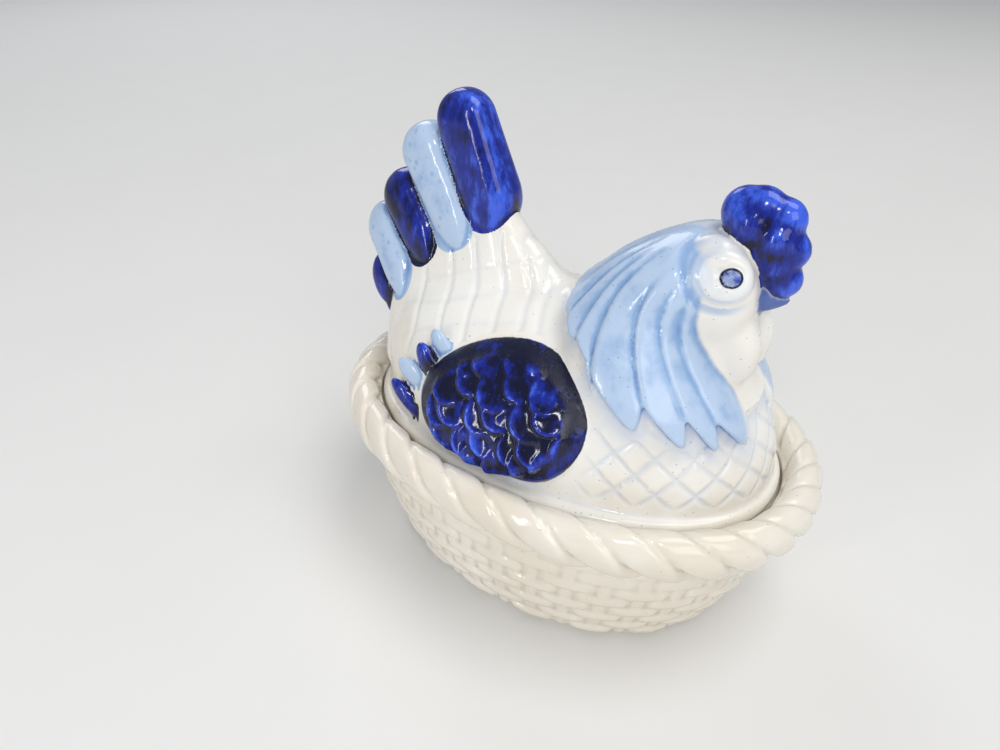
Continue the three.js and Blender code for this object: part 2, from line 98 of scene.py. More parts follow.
def ringLoft(rings):
    # a closed skin whose last ring joins the first
    r, c, _ = rings.shape
    return outward(rings.reshape(-1, 3), bands(r, r, c))


def outward(verts, tris):
    a, b, c = (verts[tris[:, n]] for n in range(3))
    volume = np.einsum("ij,ij->i", a, np.cross(b, c)).sum()
    return verts, (tris if volume > 0 else tris[:, ::-1])


def mirror(part):
    return part[0] * [1, -1, 1], part[1][:, ::-1]


def ball(centre, radii, turn=0, count=28, pole=0.02):
    # an ellipsoid, turned about Y by degrees
    rows = np.linspace(pole, 1 - pole, count)
    a = turns(count * 2)
    z = np.cos(rows * math.pi)[:, None] * np.ones_like(a)
    s = np.sin(rows * math.pi)[:, None]
    p = np.stack([s * np.cos(a), s * np.sin(a), z], -1) * radii
    c, n = math.cos(math.radians(turn)), math.sin(math.radians(turn))
    turnedX = p[..., 0] * c + p[..., 2] * n
    turnedZ = -p[..., 0] * n + p[..., 2] * c
    return loft(np.stack([turnedX, p[..., 1], turnedZ], -1) + centre)


def placed(name, data):
    obj = bpy.data.objects.new(name, data)
    bpy.context.scene.collection.objects.link(obj)
    return obj


def meshObject(name, verts, tris):
    mesh = bpy.data.meshes.new(name)
    mesh.from_pydata((np.asarray(verts) * mm).tolist(), [], np.asarray(tris).tolist())
    mesh.update()
    return placed(name, mesh)


def joined(parts):
    verts, tris, start = [], [], 0
    for v, t in parts:
        verts.append(v)
        tris.append(t + start)
        start += len(v)
    return np.concatenate(verts), np.concatenate(tris)


def applied(obj):
    # the object with its modifiers worked into its mesh
    graph = bpy.context.evaluated_depsgraph_get()
    mesh = bpy.data.meshes.new_from_object(obj.evaluated_get(graph))
    obj.modifiers.clear()
    old = obj.data
    obj.data = mesh
    bpy.data.meshes.remove(old)
    return obj


def remeshed(obj):
    m = obj.modifiers.new("voxels", "REMESH")
    m.mode = "VOXEL"
    m.voxel_size = voxel * mm
    m.use_smooth_shade = True
    return applied(obj)


def cut(obj, part):
    # takes a closed part away from the object
    tool = meshObject("cutTool", *part)
    m = obj.modifiers.new("cut", "BOOLEAN")
    m.operation = "DIFFERENCE"
    m.solver = "MANIFOLD"
    m.object = tool
    applied(obj)
    bpy.data.objects.remove(tool)


def triples(rows, name):
    flat = np.empty(len(rows) * 3, np.float32)
    rows.foreach_get(name, flat)
    return flat.reshape(-1, 3).astype(float)


def points(mesh):
    return triples(mesh.vertices, "co") / mm


def setPoints(mesh, places):
    mesh.vertices.foreach_set("co", (np.asarray(places) * mm).astype(np.float32).ravel())
    mesh.update()


def normals(mesh):
    return triples(mesh.vertex_normals, "vector")


class Around:
    # each vertex's neighbours, for smoothing points and masks
    def __init__(self, mesh):
        e = np.empty(len(mesh.edges) * 2, np.int32)
        mesh.edges.foreach_get("vertices", e)
        self.a, self.b = e.reshape(-1, 2).T
        self.n = len(mesh.vertices)
        self.count = np.bincount(self.a, minlength=self.n) + np.bincount(self.b, minlength=self.n)

    def mean(self, values):
        if values.ndim == 1:
            total = np.bincount(self.a, values[self.b], self.n) + np.bincount(self.b, values[self.a], self.n)
            return total / self.count
        return np.stack([self.mean(values[:, k]) for k in range(values.shape[1])], -1)

    def smoothed(self, values, rounds, share=0.6):
        for _ in range(rounds):
            values = values + share * (self.mean(values) - values)
        return values

    def softened(self, places, mask, rounds):
        # smoothing only where the mask is
        return places + mask[:, None] * (self.smoothed(places, rounds) - places)

    def relaxed(self, places, rounds, stepIn=0.5, stepOut=0.52):
        # smoothing that keeps volume: a step in and a slightly larger one out
        for _ in range(rounds):
            places = places + stepIn * (self.mean(places) - places)
            places = places - stepOut * (self.mean(places) - places)
        return places

    def hollows(self, mesh, places, rounds, depth):
        # above 0 in hollows and below 0 on what stands out, 1 at the given depth
        deep = self.smoothed(places, rounds) - places
        return np.clip(np.einsum("ij,ij->i", deep, normals(mesh)) / depth, -1, 1)


def attribute(mesh, name, values):
    layer = mesh.attributes.new(name, "FLOAT", "POINT")
    layer.data.foreach_set("value", np.asarray(values, np.float32))


def nearest(sources, places):
    # index of the source point nearest to each place
    tree = KDTree(len(sources))
    for i, p in enumerate(sources.tolist()):
        tree.insert(p, i)
    tree.balance()
    return np.array([tree.find(p)[1] for p in places.tolist()])


def ovalRing(length, width, z, count=480):
    x, y = oval(turns(count), length, length, width)
    return np.stack([x, y, np.full(count, float(z))], -1)


lidLook = dict(length=87, width=56, base=57.3, top=64.3, edge=2.4, edgeRows=25)
dishLook = dict(
    footLength=73, footWidth=53.5, footBevel=1.6, bevelInset=0.4, bevelShare=0.4, footRing=9, footRecess=1.4,
    wallHeight=53, wallLength=92, wallWidth=62.5, belly=2.4, wallThick=5.5, floor=6.5,
    ledgeHeight=57, ledgeWidth=6, lidClearance=1, overrun=4,
    wallColumns=1200, wallRows=110, cutColumns=240, relaxRounds=5, hollowRounds=30, hollowDepth=0.8,
)
# a strip dives under a stake where its wave is below minus stripStart
weaveLook = dict(
    stakes=38, rows=8, relief=2.3, plainBand=4, rowSquare=4, stakeProud=1.2, stakeStart=0.8, stakeRise=0.14,
    stripStart=0.85, stripRise=0.7, stripRound=0.8, stripBow=0.18, fadeTop=47, fadeOver=20, fadeLeast=0.4,
)
# the grooves are deepest and widest on the outer lower side
ropeLook = dict(
    length=95.5, width=64, height=59, thick=7, tall=10, strands=32, lobes=3, groove=5.4,
    grooveLeast=0.36, grooveMore=0.9, lowSpread=0.75, lowTurn=0.3, lobeSquare=9.2, lobeRounder=5.3, lap=0.16,
    sections=1440, spots=96,
)
cavityShares = [(0.8, 0.8, 0), (0.9, 0.89, 0.015), (0.96, 0.95, 0.06), (0.985, 0.98, 0.12), (1, 1, 0.2)]


def weaveHeight(angle, z):
    # how far the woven strips stand out at a place on the wall: each row passes over every other stake
    d, w = dishLook, weaveLook
    band = (d["wallHeight"] - d["footBevel"] - w["plainBand"]) / w["rows"]
    level = (z - d["footBevel"]) / band
    row = np.floor(level)
    across = 1 - np.abs(2 * (level - row) - 1) ** w["rowSquare"]
    phase = angle / fullTurn * w["stakes"]
    over = np.cos((phase + row) * math.pi)
    fade = w["fadeLeast"] + (1 - w["fadeLeast"]) * smooth((w["fadeTop"] - z) / w["fadeOver"])
    risen = smooth((over + w["stripStart"]) / w["stripRise"]) ** w["stripRound"]
    strip = w["relief"] * risen * (1 - w["stripBow"] + w["stripBow"] * over) * across * fade
    upright = smooth((np.abs(np.cos(phase * math.pi)) - w["stakeStart"]) / w["stakeRise"])
    stake = upright * w["stakeProud"] * fade
    inside = (level > 0) & (level < w["rows"])
    return np.where(inside, np.maximum(strip, stake), 0)


def wallPart():
    d = dishLook
    count = d["wallColumns"]
    a = turns(count)
    rings = [
        ovalRing(d["footLength"] - d["footBevel"], d["footWidth"] - d["footBevel"], 0, count),
        ovalRing(d["footLength"] - d["bevelInset"], d["footWidth"] - d["bevelInset"],
                 d["footBevel"] * d["bevelShare"], count),
    ]
    for z in np.linspace(d["footBevel"], d["wallHeight"], d["wallRows"]):
        t = z / d["wallHeight"]
        swell = d["belly"] * math.sin(t * math.pi) + weaveHeight(a, z)
        length = d["footLength"] + (d["wallLength"] - d["footLength"]) * t + swell
        width = d["footWidth"] + (d["wallWidth"] - d["footWidth"]) * t + swell
        x, y = oval(a, length, length, width)
        rings.append(np.stack([x, y, np.full(count, z)], -1))
    rings.append(ovalRing(d["wallLength"], d["wallWidth"], d["ledgeHeight"] + d["overrun"], count))
    return loft(rings)


def ropePart():
    # strands laid round the rim
    r = ropeLook
    a = turns(r["sections"])
    step = fullTurn / r["sections"]
    x, y = oval(a, r["length"], r["length"], r["width"])
    nextX, nextY = oval(a + step, r["length"], r["length"], r["width"])
    lastX, lastY = oval(a - step, r["length"], r["length"], r["width"])
    out = np.stack([nextY - lastY, lastX - nextX], -1)
    out /= np.linalg.norm(out, axis=1)[:, None]
    b = turns(r["spots"])[None, :]
    phase = (b + (r["strands"] / r["lobes"]) * a[:, None]) / fullTurn * r["lobes"]
    across = phase - np.floor(phase)
    low = r["grooveLeast"] + r["grooveMore"] * smooth(0.5 - r["lowSpread"] * np.sin(b + r["lowTurn"]))
    lobe = 1 - np.abs(2 * across - 1) ** (r["lobeSquare"] - r["lobeRounder"] * low)
    lap = r["lap"] * (across - 0.5)
    inset = r["groove"] * ((1 - lobe) * low - lap * np.minimum(lobe * 2, 1))
    reach = (r["thick"] - inset) * np.cos(b)
    z = r["height"] + (r["tall"] - inset) * np.sin(b)
    return ringLoft(np.stack([x[:, None] + out[:, :1] * reach, y[:, None] + out[:, 1:] * reach, z], -1))


def cavityPart():
    d = dishLook
    floor = (d["footLength"] - d["wallThick"], d["footWidth"] - d["wallThick"])
    deep = d["ledgeHeight"] - d["floor"]
    rings = [ovalRing(floor[0] * long, floor[1] * wide, d["floor"] + up * deep, d["cutColumns"])
             for long, wide, up in cavityShares]
    mouth = (lidLook["length"] - d["ledgeWidth"], lidLook["width"] - d["ledgeWidth"])
    rings.append(ovalRing(*mouth, d["ledgeHeight"] + d["overrun"], d["cutColumns"]))
    return loft(rings)


def upright(length, width, low, high):
    return loft([ovalRing(length, width, z, dishLook["cutColumns"]) for z in (low, high)])


def buildDish():
    d = dishLook
    obj = remeshed(meshObject("nestDish", *joined([wallPart(), ropePart()])))
    cut(obj, cavityPart())
    seat = (lidLook["length"] + d["lidClearance"], lidLook["width"] + d["lidClearance"])
    cut(obj, upright(*seat, d["ledgeHeight"], ropeLook["height"] + ropeLook["tall"] + d["overrun"]))
    recess = (d["footLength"] - d["footRing"], d["footWidth"] - d["footRing"])
    cut(obj, upright(*recess, -d["overrun"], d["footRecess"]))
    remeshed(obj)
    mesh = obj.data
    around = Around(mesh)
    p = around.relaxed(points(mesh), d["relaxRounds"])
    setPoints(mesh, p)
    # how deep each place lies in a hollow, which sets the dish's painted shade
    attribute(mesh, "hollow", around.hollows(mesh, p, d["hollowRounds"], d["hollowDepth"]))
    print("dish", len(p), "points")
    return obj


bodyLook = dict(
    front=84, back=84, width=51, height=57, extraSquare=0.25, squareRise=3, least=0.5, rows=100,
    shell=5, wall=8.5, hollowBase=53, hollowFrom=0.06, hollowOver=0.86, neckShell=7.8, neckHollow=0.66,
)
# the body's rows are height, front, back and width
bodyShares = [
    (0, 1, 1, 1), (0.15, 0.99, 0.995, 0.972), (0.33, 0.955, 0.98, 0.915), (0.5, 0.89, 0.95, 0.83),
    (0.67, 0.76, 0.91, 0.69), (0.8, 0.6, 0.86, 0.54), (0.9, 0.42, 0.8, 0.37), (0.97, 0.22, 0.72, 0.2),
    (1, 0.06, 0.64, 0.08),
]


def bodySquare(t):
    return squareness + bodyLook["extraSquare"] * smooth(t * bodyLook["squareRise"])


def bodyRing(t, inset=0, count=480):
    b = bodyLook
    up, front, back, width = along(bodyShares, t)
    z = lidLook["top"] + up * b["height"] - inset * t
    reaches = (front * b["front"] - inset, back * b["back"] - inset, width * b["width"] - inset)
    x, y = oval(turns(count), *[max(reach, inset, b["least"]) for reach in reaches], bodySquare(t))
    return np.stack([x, y, np.full(count, float(z))], -1)


def bodyPart():
    # the lid's rolled edge, from its flat underside to the crease, and the body over it
    k = lidLook
    half = (k["top"] - k["base"]) / 2
    rings = []
    for angle in np.linspace(-90, 90, k["edgeRows"]):
        s, c = math.sin(math.radians(angle)), math.cos(math.radians(angle))
        inset = k["edge"] * (1 - c)
        rings.append(ovalRing(k["length"] - inset, k["width"] - inset, k["base"] + half + half * s))
    rings += [bodyRing(t) for t in np.linspace(0, 1, bodyLook["rows"])]
    return loft(rings)


def flank(x, z):
    # half-width of the body at places on its flank
    b = bodyLook
    t = np.linspace(0, 1, 400)
    rows = along(bodyShares, t)
    spot = np.interp((z - lidLook["top"]) / b["height"], rows[:, 0], t)
    _, front, back, width = along(bodyShares, spot).T
    reach = np.where(x > 0, front * b["front"], back * b["back"])
    square = bodySquare(spot)
    share = np.clip(np.abs(x) / np.maximum(reach, 0.1), 0, 1)
    return width * b["width"] * (1 - share**square) ** (1 / square)


neckLook = dict(reach=64, depth=43.5, width=42, base=99, height=57.3, lean=20)
bustLook = dict(centre=31, length=48, width=44, height=76)
# the neck's rows are forward, height, depth, width and lean
neckShares = [
    (0.586, 0, 1, 1, 0.87), (0.578, 0.139, 0.956, 0.94, 0.8), (0.578, 0.287, 0.818, 0.833, 0.86),
    (0.578, 0.444, 0.632, 0.702, 0.95), (0.609, 0.593, 0.494, 0.595, 1.09),
    (0.695, 0.746, 0.405, 0.512, 1.03), (0.789, 0.876, 0.326, 0.405, 0.87),
    (0.836, 0.959, 0.202, 0.262, 0.75), (0.85, 1, 0.05, 0.07, 0.5),
]


def neckPoint(t, angle, out):
    k = neckLook
    x, up, depth, width, lean = np.moveaxis(along(neckShares, t), -1, 0)
    a = depth * k["depth"] + out
    b = width * k["width"] + out
    tilt = np.radians(k["lean"]) * lean
    forward = a * np.cos(angle)
    return np.stack([x * k["reach"] + forward * np.cos(tilt), b * np.sin(angle),
                     k["base"] + up * k["height"] - forward * np.sin(tilt)], -1)


def bustRing(angle, out):
    b = bustLook
    x = b["centre"] + (b["length"] + out) * np.cos(angle)
    return np.stack([x, (b["width"] + out) * np.sin(angle), np.full(angle.shape, float(b["height"]))], -1)


# lappet edges are degrees from the front; a back rise is its start, its stretch and a share of the neck
lappetEdges = [12, 31, 46, 67, 98, 114, 132, 154, 180]
capeLook = dict(
    relief=2.3, point=8, backPoint=2, tipAcross=0.3, tipRound=1.25, sweep=0.7, frontLappets=4, footShare=0.02,
    backRises=[(97, 6, 0.16), (115, 65, 0.08)], ridgeLow=0.45, shoulder=0.16, valley=0.12, edgeRound=0.8,
    sunk=0.4, fadeFrom=0.5, fadeOver=0.28, lipOver=0.02, lipDrop=0.5, columns=960, rows=130,
)


def lappetShare(angle):
    # how far across its lappet a place is, or -1 ahead of the first, and which lappet it is on
    deg = np.abs(np.degrees(angle))
    edges = np.array(lappetEdges, float)
    k = np.clip(np.searchsorted(edges, deg, side="right") - 1, 0, len(edges) - 2)
    across = (deg - edges[k]) / (edges[k + 1] - edges[k])
    return np.where(deg < edges[0], -1, np.clip(across, 0, 1)), k


def capeFoot(angle):
    # where on the neck the hackle ends: lowest at each lappet's tip
    c = capeLook
    deg = np.abs(np.degrees(angle))
    across, k = lappetShare(angle)
    tip = c["tipAcross"]
    away = np.where(across > tip, (across - tip) / (1 - tip), (tip - across) / tip)
    edge = np.where(across < 0, 0, 1 - np.clip(away, 0, 1) ** c["tipRound"])
    rise = sum(share * smooth((deg - start) / over) for start, over, share in c["backRises"])
    point = np.where(k < c["frontLappets"], c["point"], c["backPoint"])
    return c["footShare"] + rise + point / neckLook["height"] * (1 - edge)


def swept(angle, t):
    return math.pi * (np.abs(angle) / math.pi) ** (1 - capeLook["sweep"] * t) * np.sign(angle)


def capePart():
    c = capeLook
    columns = c["columns"]
    angle = (np.arange(columns) / columns - 0.5) * fullTurn
    across, _ = lappetShare(angle)
    edge = lambda gap, width: np.sin(np.clip(gap / width, 0, 1) * math.pi / 2) ** c["edgeRound"]
    plate = c["ridgeLow"] + (1 - c["ridgeLow"]) * across
    ridge = np.where(across < 0, 0, plate * edge(1 - across, c["shoulder"]) * edge(across, c["valley"]))
    foot = capeFoot(angle)
    rings = [bustRing(angle, 0), neckPoint(np.zeros(columns), angle, -c["relief"]),
             neckPoint(foot, swept(angle, foot), -c["relief"])]
    for row in np.linspace(0, 1, c["rows"]):
        t = foot + (1 - foot) * row
        fade = 1 - smooth((t - c["fadeFrom"]) / c["fadeOver"])
        lip = smooth(row / c["lipOver"])
        out = c["relief"] * (ridge - c["sunk"]) * fade * lip - c["relief"] * (1 - lip) * c["lipDrop"]
        rings.append(neckPoint(t, swept(angle, t), out))
    return loft(rings)


tailLook = dict(back=101, base=64, height=122, thick=38, rows=90, columns=240)
# the tail root's rows are height, front, back and thickness
tailShares = [
    (0.1, -0.06, 0.86, 1), (0.24, -0.06, 0.86, 0.8), (0.335, -0.04, 0.845, 0.61), (0.42, 0, 0.82, 0.45),
    (0.5, 0.08, 0.78, 0.325), (0.6, 0.22, 0.7, 0.235), (0.7, 0.33, 0.62, 0.18), (0.82, 0.41, 0.6, 0.14),
    (0.91, 0.46, 0.56, 0.12),
]


def tailSpan(front, back):
    # the middle of the tail's root and its reach each way from there
    return -(front + back) * tailLook["back"] / 2, (back - front) * tailLook["back"] / 2


def tailRootPart():
    k = tailLook
    rings = []
    for t in np.linspace(0, 1, k["rows"]):
        up, front, back, thick = along(tailShares, t)
        middle, reach = tailSpan(front, back)
        x, y = oval(turns(k["columns"]), reach, reach, thick * k["thick"])
        rings.append(np.stack([middle + x, y, np.full(k["columns"], k["base"] + up * k["height"])], -1))
    return loft(rings)


def rootHalf(x, z):
    # half-thickness of the tail's root at a place seen from the side
    k = tailLook
    up, front, back, thick = along(tailShares, np.linspace(0, 1, 200)).T
    share = (z - k["base"]) / k["height"]
    front, back, thick = (np.interp(share, up, row) for row in (front, back, thick))
    middle, reach = tailSpan(front, back)
    off = np.clip(np.abs(x - middle) / reach, 0, 1)
    return thick * k["thick"] * (1 - off**squareness) ** (1 / squareness)


featherLook = dict(
    thick=7.5, proud=2.2, crown=11, footRound=14, square=3, swell=0.75, sunk=1, leastProud=0.8, fullness=0.8,
    rows=110, columns=96,
)
# each feather's foot and tip are back and up, as shares of the tail's reach and height
feathers = [
    dict(foot=(0.338, 0.592), tip=(0.54, 0.985), width=0.112, tone=0.22),
    dict(foot=(0.458, 0.516), tip=(0.735, 0.857), width=0.114, tone=0),
    dict(foot=(0.604, 0.444), tip=(0.866, 0.681), width=0.11, tone=-0.2),
    dict(foot=(0.705, 0.308), tip=(0.969, 0.553), width=0.1, tone=0),
    dict(foot=(0.838, 0.184), tip=(0.967, 0.373), width=0.082, tone=-0.1),
]


def featherAxis(row):
    k = tailLook
    place = lambda share: np.array([-share[0] * k["back"], 0, k["base"] + share[1] * k["height"]])
    start, tip = place(row["foot"]), place(row["tip"])
    length = np.linalg.norm(tip - start)
    up = (tip - start) / length
    return start, up, np.array([up[2], 0, -up[0]]), length, row["width"] * k["back"]


def roundEnd(left, radius):
    return np.sqrt(np.clip(1 - np.clip(1 - left / radius, 0, 1) ** 2, 0.001, 1))


def featherPart(row):
    # a straight rounded bar that thickens towards the root, lies proud of it and ends round below
    k = featherLook
    start, up, across, length, half = featherAxis(row)
    deepest = float(rootHalf(start[0], start[2])) + k["proud"]
    rings = []
    for s in (1 - np.cos(np.linspace(0.02, 1, k["rows"]) * math.pi)) / 2:
        top, foot = float(roundEnd((1 - s) * length, k["crown"])), float(roundEnd(s * length, k["footRound"]))
        p = start + up * s * length
        root = float(rootHalf(p[0], p[2]))
        level = max(deepest + (k["thick"] - deepest) * s**k["swell"], root + k["leastProud"])
        thick = root - k["sunk"] + (level - root + k["sunk"]) * foot**k["fullness"]
        size = half * top * foot
        w, y = oval(turns(k["columns"]), size, size, thick * top**k["fullness"], k["square"])
        at = p + across * w[:, None]
        rings.append(np.stack([at[:, 0], y, at[:, 2]], -1))
    return loft(rings)


def featherPlace(x, z):
    # which feather is nearest to places seen from the side, and how far inside its edge they are
    beyond = 9
    inside = []
    for row in feathers:
        start, up, across, length, half = featherAxis(row)
        d = np.stack([x - start[0], z - start[2]], -1)
        s, w = d @ up[[0, 2]], np.abs(d @ across[[0, 2]])
        size = np.minimum(roundEnd(length - s, featherLook["crown"]), roundEnd(s, featherLook["footRound"]))
        inside.append(half * size - w - np.where((s < 0) | (s > length), beyond, 0))
    inside = np.array(inside)
    return inside.argmax(0), inside.max(0)


combLook = dict(front=80, top=171.6, bulb=9, flat=0.8, root=(67, 0, 156), rootSize=(10, 5, 11))
# each bulb is forward, sideways, up and its size, in bulbs
combBulbs = [
    (-2.4, 0, -0.98, 0.98), (-1.95, 0, -0.83, 0.92), (-1.18, 0, -0.93, 0.78), (-0.79, 0, -1.92, 0.73),
    (-0.78, 0, -3, 0.69), (-1.67, 0, -1.95, 1), (-2.15, 0.5, -1.2, 0.72), (-1.2, 0.47, -1.55, 0.67),
    (-1.05, 0.39, -2.4, 0.58), (-1.84, 0, -2.92, 0.84),
]


def combParts():
    k = combLook
    bulb, flat = k["bulb"], k["flat"]
    parts = []
    for forward, side, up, size in combBulbs:
        for sign in ((1, -1) if side else (1,)):
            r = size * bulb
            at = [k["front"] + forward * bulb, sign * side * flat * bulb, k["top"] + up * bulb]
            parts.append(ball(np.array(at), [r, r * flat, r]))
    parts.append(ball(np.array(k["root"]), k["rootSize"]))
    return parts


# the beak's profile rows are how far out and how thick
beakLook = dict(back=61.5, height=137.6, length=14.8, tall=8.2, width=6.5, rows=40, columns=64)
beakShares = [(-0.45, 1), (0, 1), (0.4, 0.8), (0.75, 0.45), (1, 0.1)]


def beakPart():
    k = beakLook
    a = turns(k["columns"])
    rings = []
    for t in np.linspace(0, 1, k["rows"]):
        out, size = along(beakShares, t)
        x = np.full(k["columns"], k["back"] + out * k["length"])
        z = k["height"] + k["tall"] * size * np.sin(a)
        rings.append(np.stack([x, k["width"] * size * np.cos(a), z], -1))
    return loft(rings)


# three soft swellings below the eye, each with its centre, radii and turn
faceLook = dict(
    cheek=((53.4, -8.5, 137.7), (15.3, 9.5, 19.4), 0), wattle=((64.3, -5.8, 120.3), (8.6, 6.4, 14), -6),
    throat=((57, 0, 120), (12.5, 14, 19), 0),
)


def facePart(name):
    centre, radii, turn = faceLook[name]
    return ball(np.array(centre), radii, turn)


# a rim, ring or groove is how far out it lies, its half-width and its height or depth
eyeLook = dict(
    up=0.752, round=51, radius=2.9, proud=2.2, bury=2, reach=17, rim=(3.4, 0.45, 0.35),
    discRadius=9.6, discProud=1.0, discBack=1.2, discEdge=3, ring=(5.8, 1.2, 0.2),
    behind=(0.8, 0.35), grooves=[(7.4, 0.6, 0.2), (9.4, 0.7, 0.35), (11.2, 1.1, 0.7)],
    whiteTo=10.5, whiteOver=4, whiteFrom=0.5, whiteUp=6, whiteLoss=0.7,
)


def headFrame(t, angle, side=0.05, rise=0.02):
    # a place on the head, with the ways along, up and out from it
    t, angle = np.array(t), np.array(angle)
    p = neckPoint(t, angle, 0)
    out = np.cross(neckPoint(t, angle + side, 0) - p, neckPoint(t + rise, angle, 0) - p)
    out /= np.linalg.norm(out)
    u = np.cross([0, 0, 1], out)
    u /= np.linalg.norm(u)
    return p, u, np.cross(out, u), out


def eyeFrame():
    return headFrame(eyeLook["up"], -math.radians(eyeLook["round"]))


def eyePart():
    # a low dome on the right side of the head
    e = eyeLook
    p, u, v, out = eyeFrame()
    a = turns(96)
    bends = np.radians(np.linspace(0, 88, 24))
    rows = [(1, -e["bury"])] + [(math.cos(bend), e["proud"] * math.sin(bend)) for bend in bends]
    across, up = u * np.cos(a)[:, None], v * np.sin(a)[:, None]
    return loft([p + (across + up) * s * e["radius"] + out * high for s, high in rows])


class EyeField:
    # how far places lie from the eye and from its white disc, folded onto the head's right side
    def __init__(self, p):
        e = eyeLook
        at, ahead, up, out = eyeFrame()
        off = np.stack([p[:, 0], -np.abs(p[:, 1]), p[:, 2]], -1) - at
        r = np.linalg.norm(off - (off @ out)[:, None] * out, axis=1)
        outside = np.linalg.norm(off, axis=1) > e["reach"]
        self.r = np.where(outside, far, r)
        self.level = off @ up
        sideways = off @ ahead + e["discBack"]
        self.disc = np.where(outside, far, np.hypot(self.level, sideways))
        back, over = e["behind"]
        self.behind = smooth(0.5 - (back * sideways + over * self.level) / np.maximum(self.disc, 1))

    def rise(self):
        # a low dome with a ring, and grooves round the eye and behind it
        e = eyeLook
        mark = lambda gap, row: row[2] * bell(gap - row[0], row[1])
        rise = e["discProud"] * smooth((e["discRadius"] - self.disc) / e["discEdge"])
        rise += mark(self.disc, e["ring"]) - mark(self.r, e["rim"])
        return rise - self.behind * sum(mark(self.disc, row) for row in e["grooves"])

    def white(self):
        e = eyeLook
        inside = smooth((e["whiteTo"] - self.disc) / e["whiteOver"])
        return inside * (1 - e["whiteLoss"] * smooth((self.level - e["whiteFrom"]) / e["whiteUp"]))


# the right wing: an oval on the flank with a smooth rim and a field of curled feathers
wingLook = dict(
    forward=-5, height=84.5, halfLength=36.5, halfHeight=25, tilt=13, low=66.2, lowSharp=12, proud=4.6,
    bury=5, rows=110, columns=480, paintTop=114,
    fieldAt=(1, 1.5), fieldSize=(30, 20), fieldEdge=0.14, fieldOut=0.4,
)
scaleLook = dict(
    aim=(-0.86, -0.51), first=-28, last=38, most=5, apart=8.8, across=10.2, radius=8.2, uneven=1.9,
    sizes=0.12, floor=-0.8, pillow=3.1, steep=0.24, sunk=1.2, curl=1.2, lipAt=0.84, lipWide=0.12, cup=0.9,
    cupAt=0.3, cupLong=2.6, cupWide=3.4,
)


def wingScales(u, v):
    # the height of overlapping curled feathers, whose free ends point back and down
    k = scaleLook
    dx, dy = k["aim"]
    q = u * dx + v * dy
    r = -u * dy + v * dx
    best = np.full(u.shape, k["floor"])
    for row, at in enumerate(np.arange(k["first"], k["last"], k["apart"])):
        for n in range(-k["most"], k["most"] + 1):
            # fixed waves stand in for chance
            waves = [math.sin(12.9 * row + 7.2 * n), math.sin(4.7 * row + 15.3 * n + 2)]
            shift = k["uneven"] * np.array(waves)
            radius = k["radius"] * (1 + k["sizes"] * math.sin(3.1 * row + 5.7 * n))
            p = q - at - shift[0]
            s = r - (n + 0.5 * (row % 2)) * k["across"] - shift[1]
            length = np.sqrt((p * 0.9)**2 + s**2) / radius
            dome = k["pillow"] * np.sqrt(np.clip(1 - length**2, 0, 1)) + k["steep"] * p - k["sunk"]
            lip = k["curl"] * bell(length - k["lipAt"], k["lipWide"]) * smooth(0.4 + p / radius)
            cupRow = ((p - k["cupAt"] * radius) / k["cupLong"])**2
            cup = k["cup"] * np.exp(-(cupRow + (s / k["cupWide"])**2))
            best = np.maximum(best, np.where(length < 1, dome + lip - cup, -9))
    return best


def wingField(u, v):
    # 1 where the curled feathers lie and 0 on the wing's smooth rim
    (atU, atV), (sizeU, sizeV) = wingLook["fieldAt"], wingLook["fieldSize"]
    out = np.hypot((u - atU) / sizeU, (v - atV) / sizeV)
    return smooth((1 - out) / wingLook["fieldEdge"] + wingLook["fieldOut"])


def wingTurn():
    tilt = math.radians(wingLook["tilt"])
    return math.cos(tilt), math.sin(tilt)


def wingAxes(x, z):
    c, s = wingTurn()
    dx, dz = x - wingLook["forward"], z - wingLook["height"]
    return dx * c + dz * s, dz * c - dx * s


def wingReach(angle):
    # the share of the oval that is left where the lid's border cuts the wing off
    w = wingLook
    c, s = wingTurn()
    drop = -(w["halfLength"] * np.cos(angle) * s + w["halfHeight"] * np.sin(angle) * c)
    most = (w["height"] - w["low"]) / np.maximum(drop, 0.1)
    return (1 + most ** -float(w["lowSharp"])) ** (-1 / w["lowSharp"])


def wingPlace(x, z):
    # how far out in the wing a place on the flank is: 1 at its edge
    u, v = wingAxes(x, z)
    u, v = u / wingLook["halfLength"], v / wingLook["halfHeight"]
    return np.hypot(u, v) / wingReach(np.arctan2(v, u))


def wingPart():
    w = wingLook
    a = turns(w["columns"])
    reach = wingReach(a)
    c, s = wingTurn()
    sizes = np.concatenate([[1], np.maximum(1 - np.linspace(0, 1, w["rows"])**1.2, 0.004)])
    rings = []
    for k, size in enumerate(sizes):
        u = size * reach * w["halfLength"] * np.cos(a)
        v = size * reach * w["halfHeight"] * np.sin(a)
        if k:
            out = w["proud"] * max(1 - size**7, 0)**0.55 + wingScales(u, v) * wingField(u, v)
        else:
            out = np.full(a.shape, -float(w["bury"]))
        x = w["forward"] + u * c - v * s
        z = w["height"] + u * s + v * c
        y = -(flank(x, np.maximum(z, lidLook["top"])) + out)
        rings.append(np.stack([x, y, z], -1))
    return loft(rings)


# four free feathers behind the wing, back and up in shares of its size
wingTips = [
    dict(back=0.85, up=0.54, turn=62, long=8.5, tall=4.6, thick=1.9, blue="pale"),
    dict(back=0.97, up=0.28, turn=62, long=9, tall=4.6, thick=2.8, blue="cobalt"),
    dict(back=1.16, up=-0.02, turn=32, long=9, tall=5.2, thick=2.2, blue="pale"),
    dict(back=1.21, up=-0.5, turn=38, long=11.5, tall=4.2, thick=2.8, blue="cobalt"),
]


def wingTipPart(row):
    x = wingLook["forward"] - row["back"] * wingLook["halfLength"]
    z = wingLook["height"] + row["up"] * wingLook["halfHeight"]
    y = -float(flank(np.array(x), np.array(z)))
    return ball(np.array([x, y, z]), [row["long"], row["thick"], row["tall"]], row["turn"])


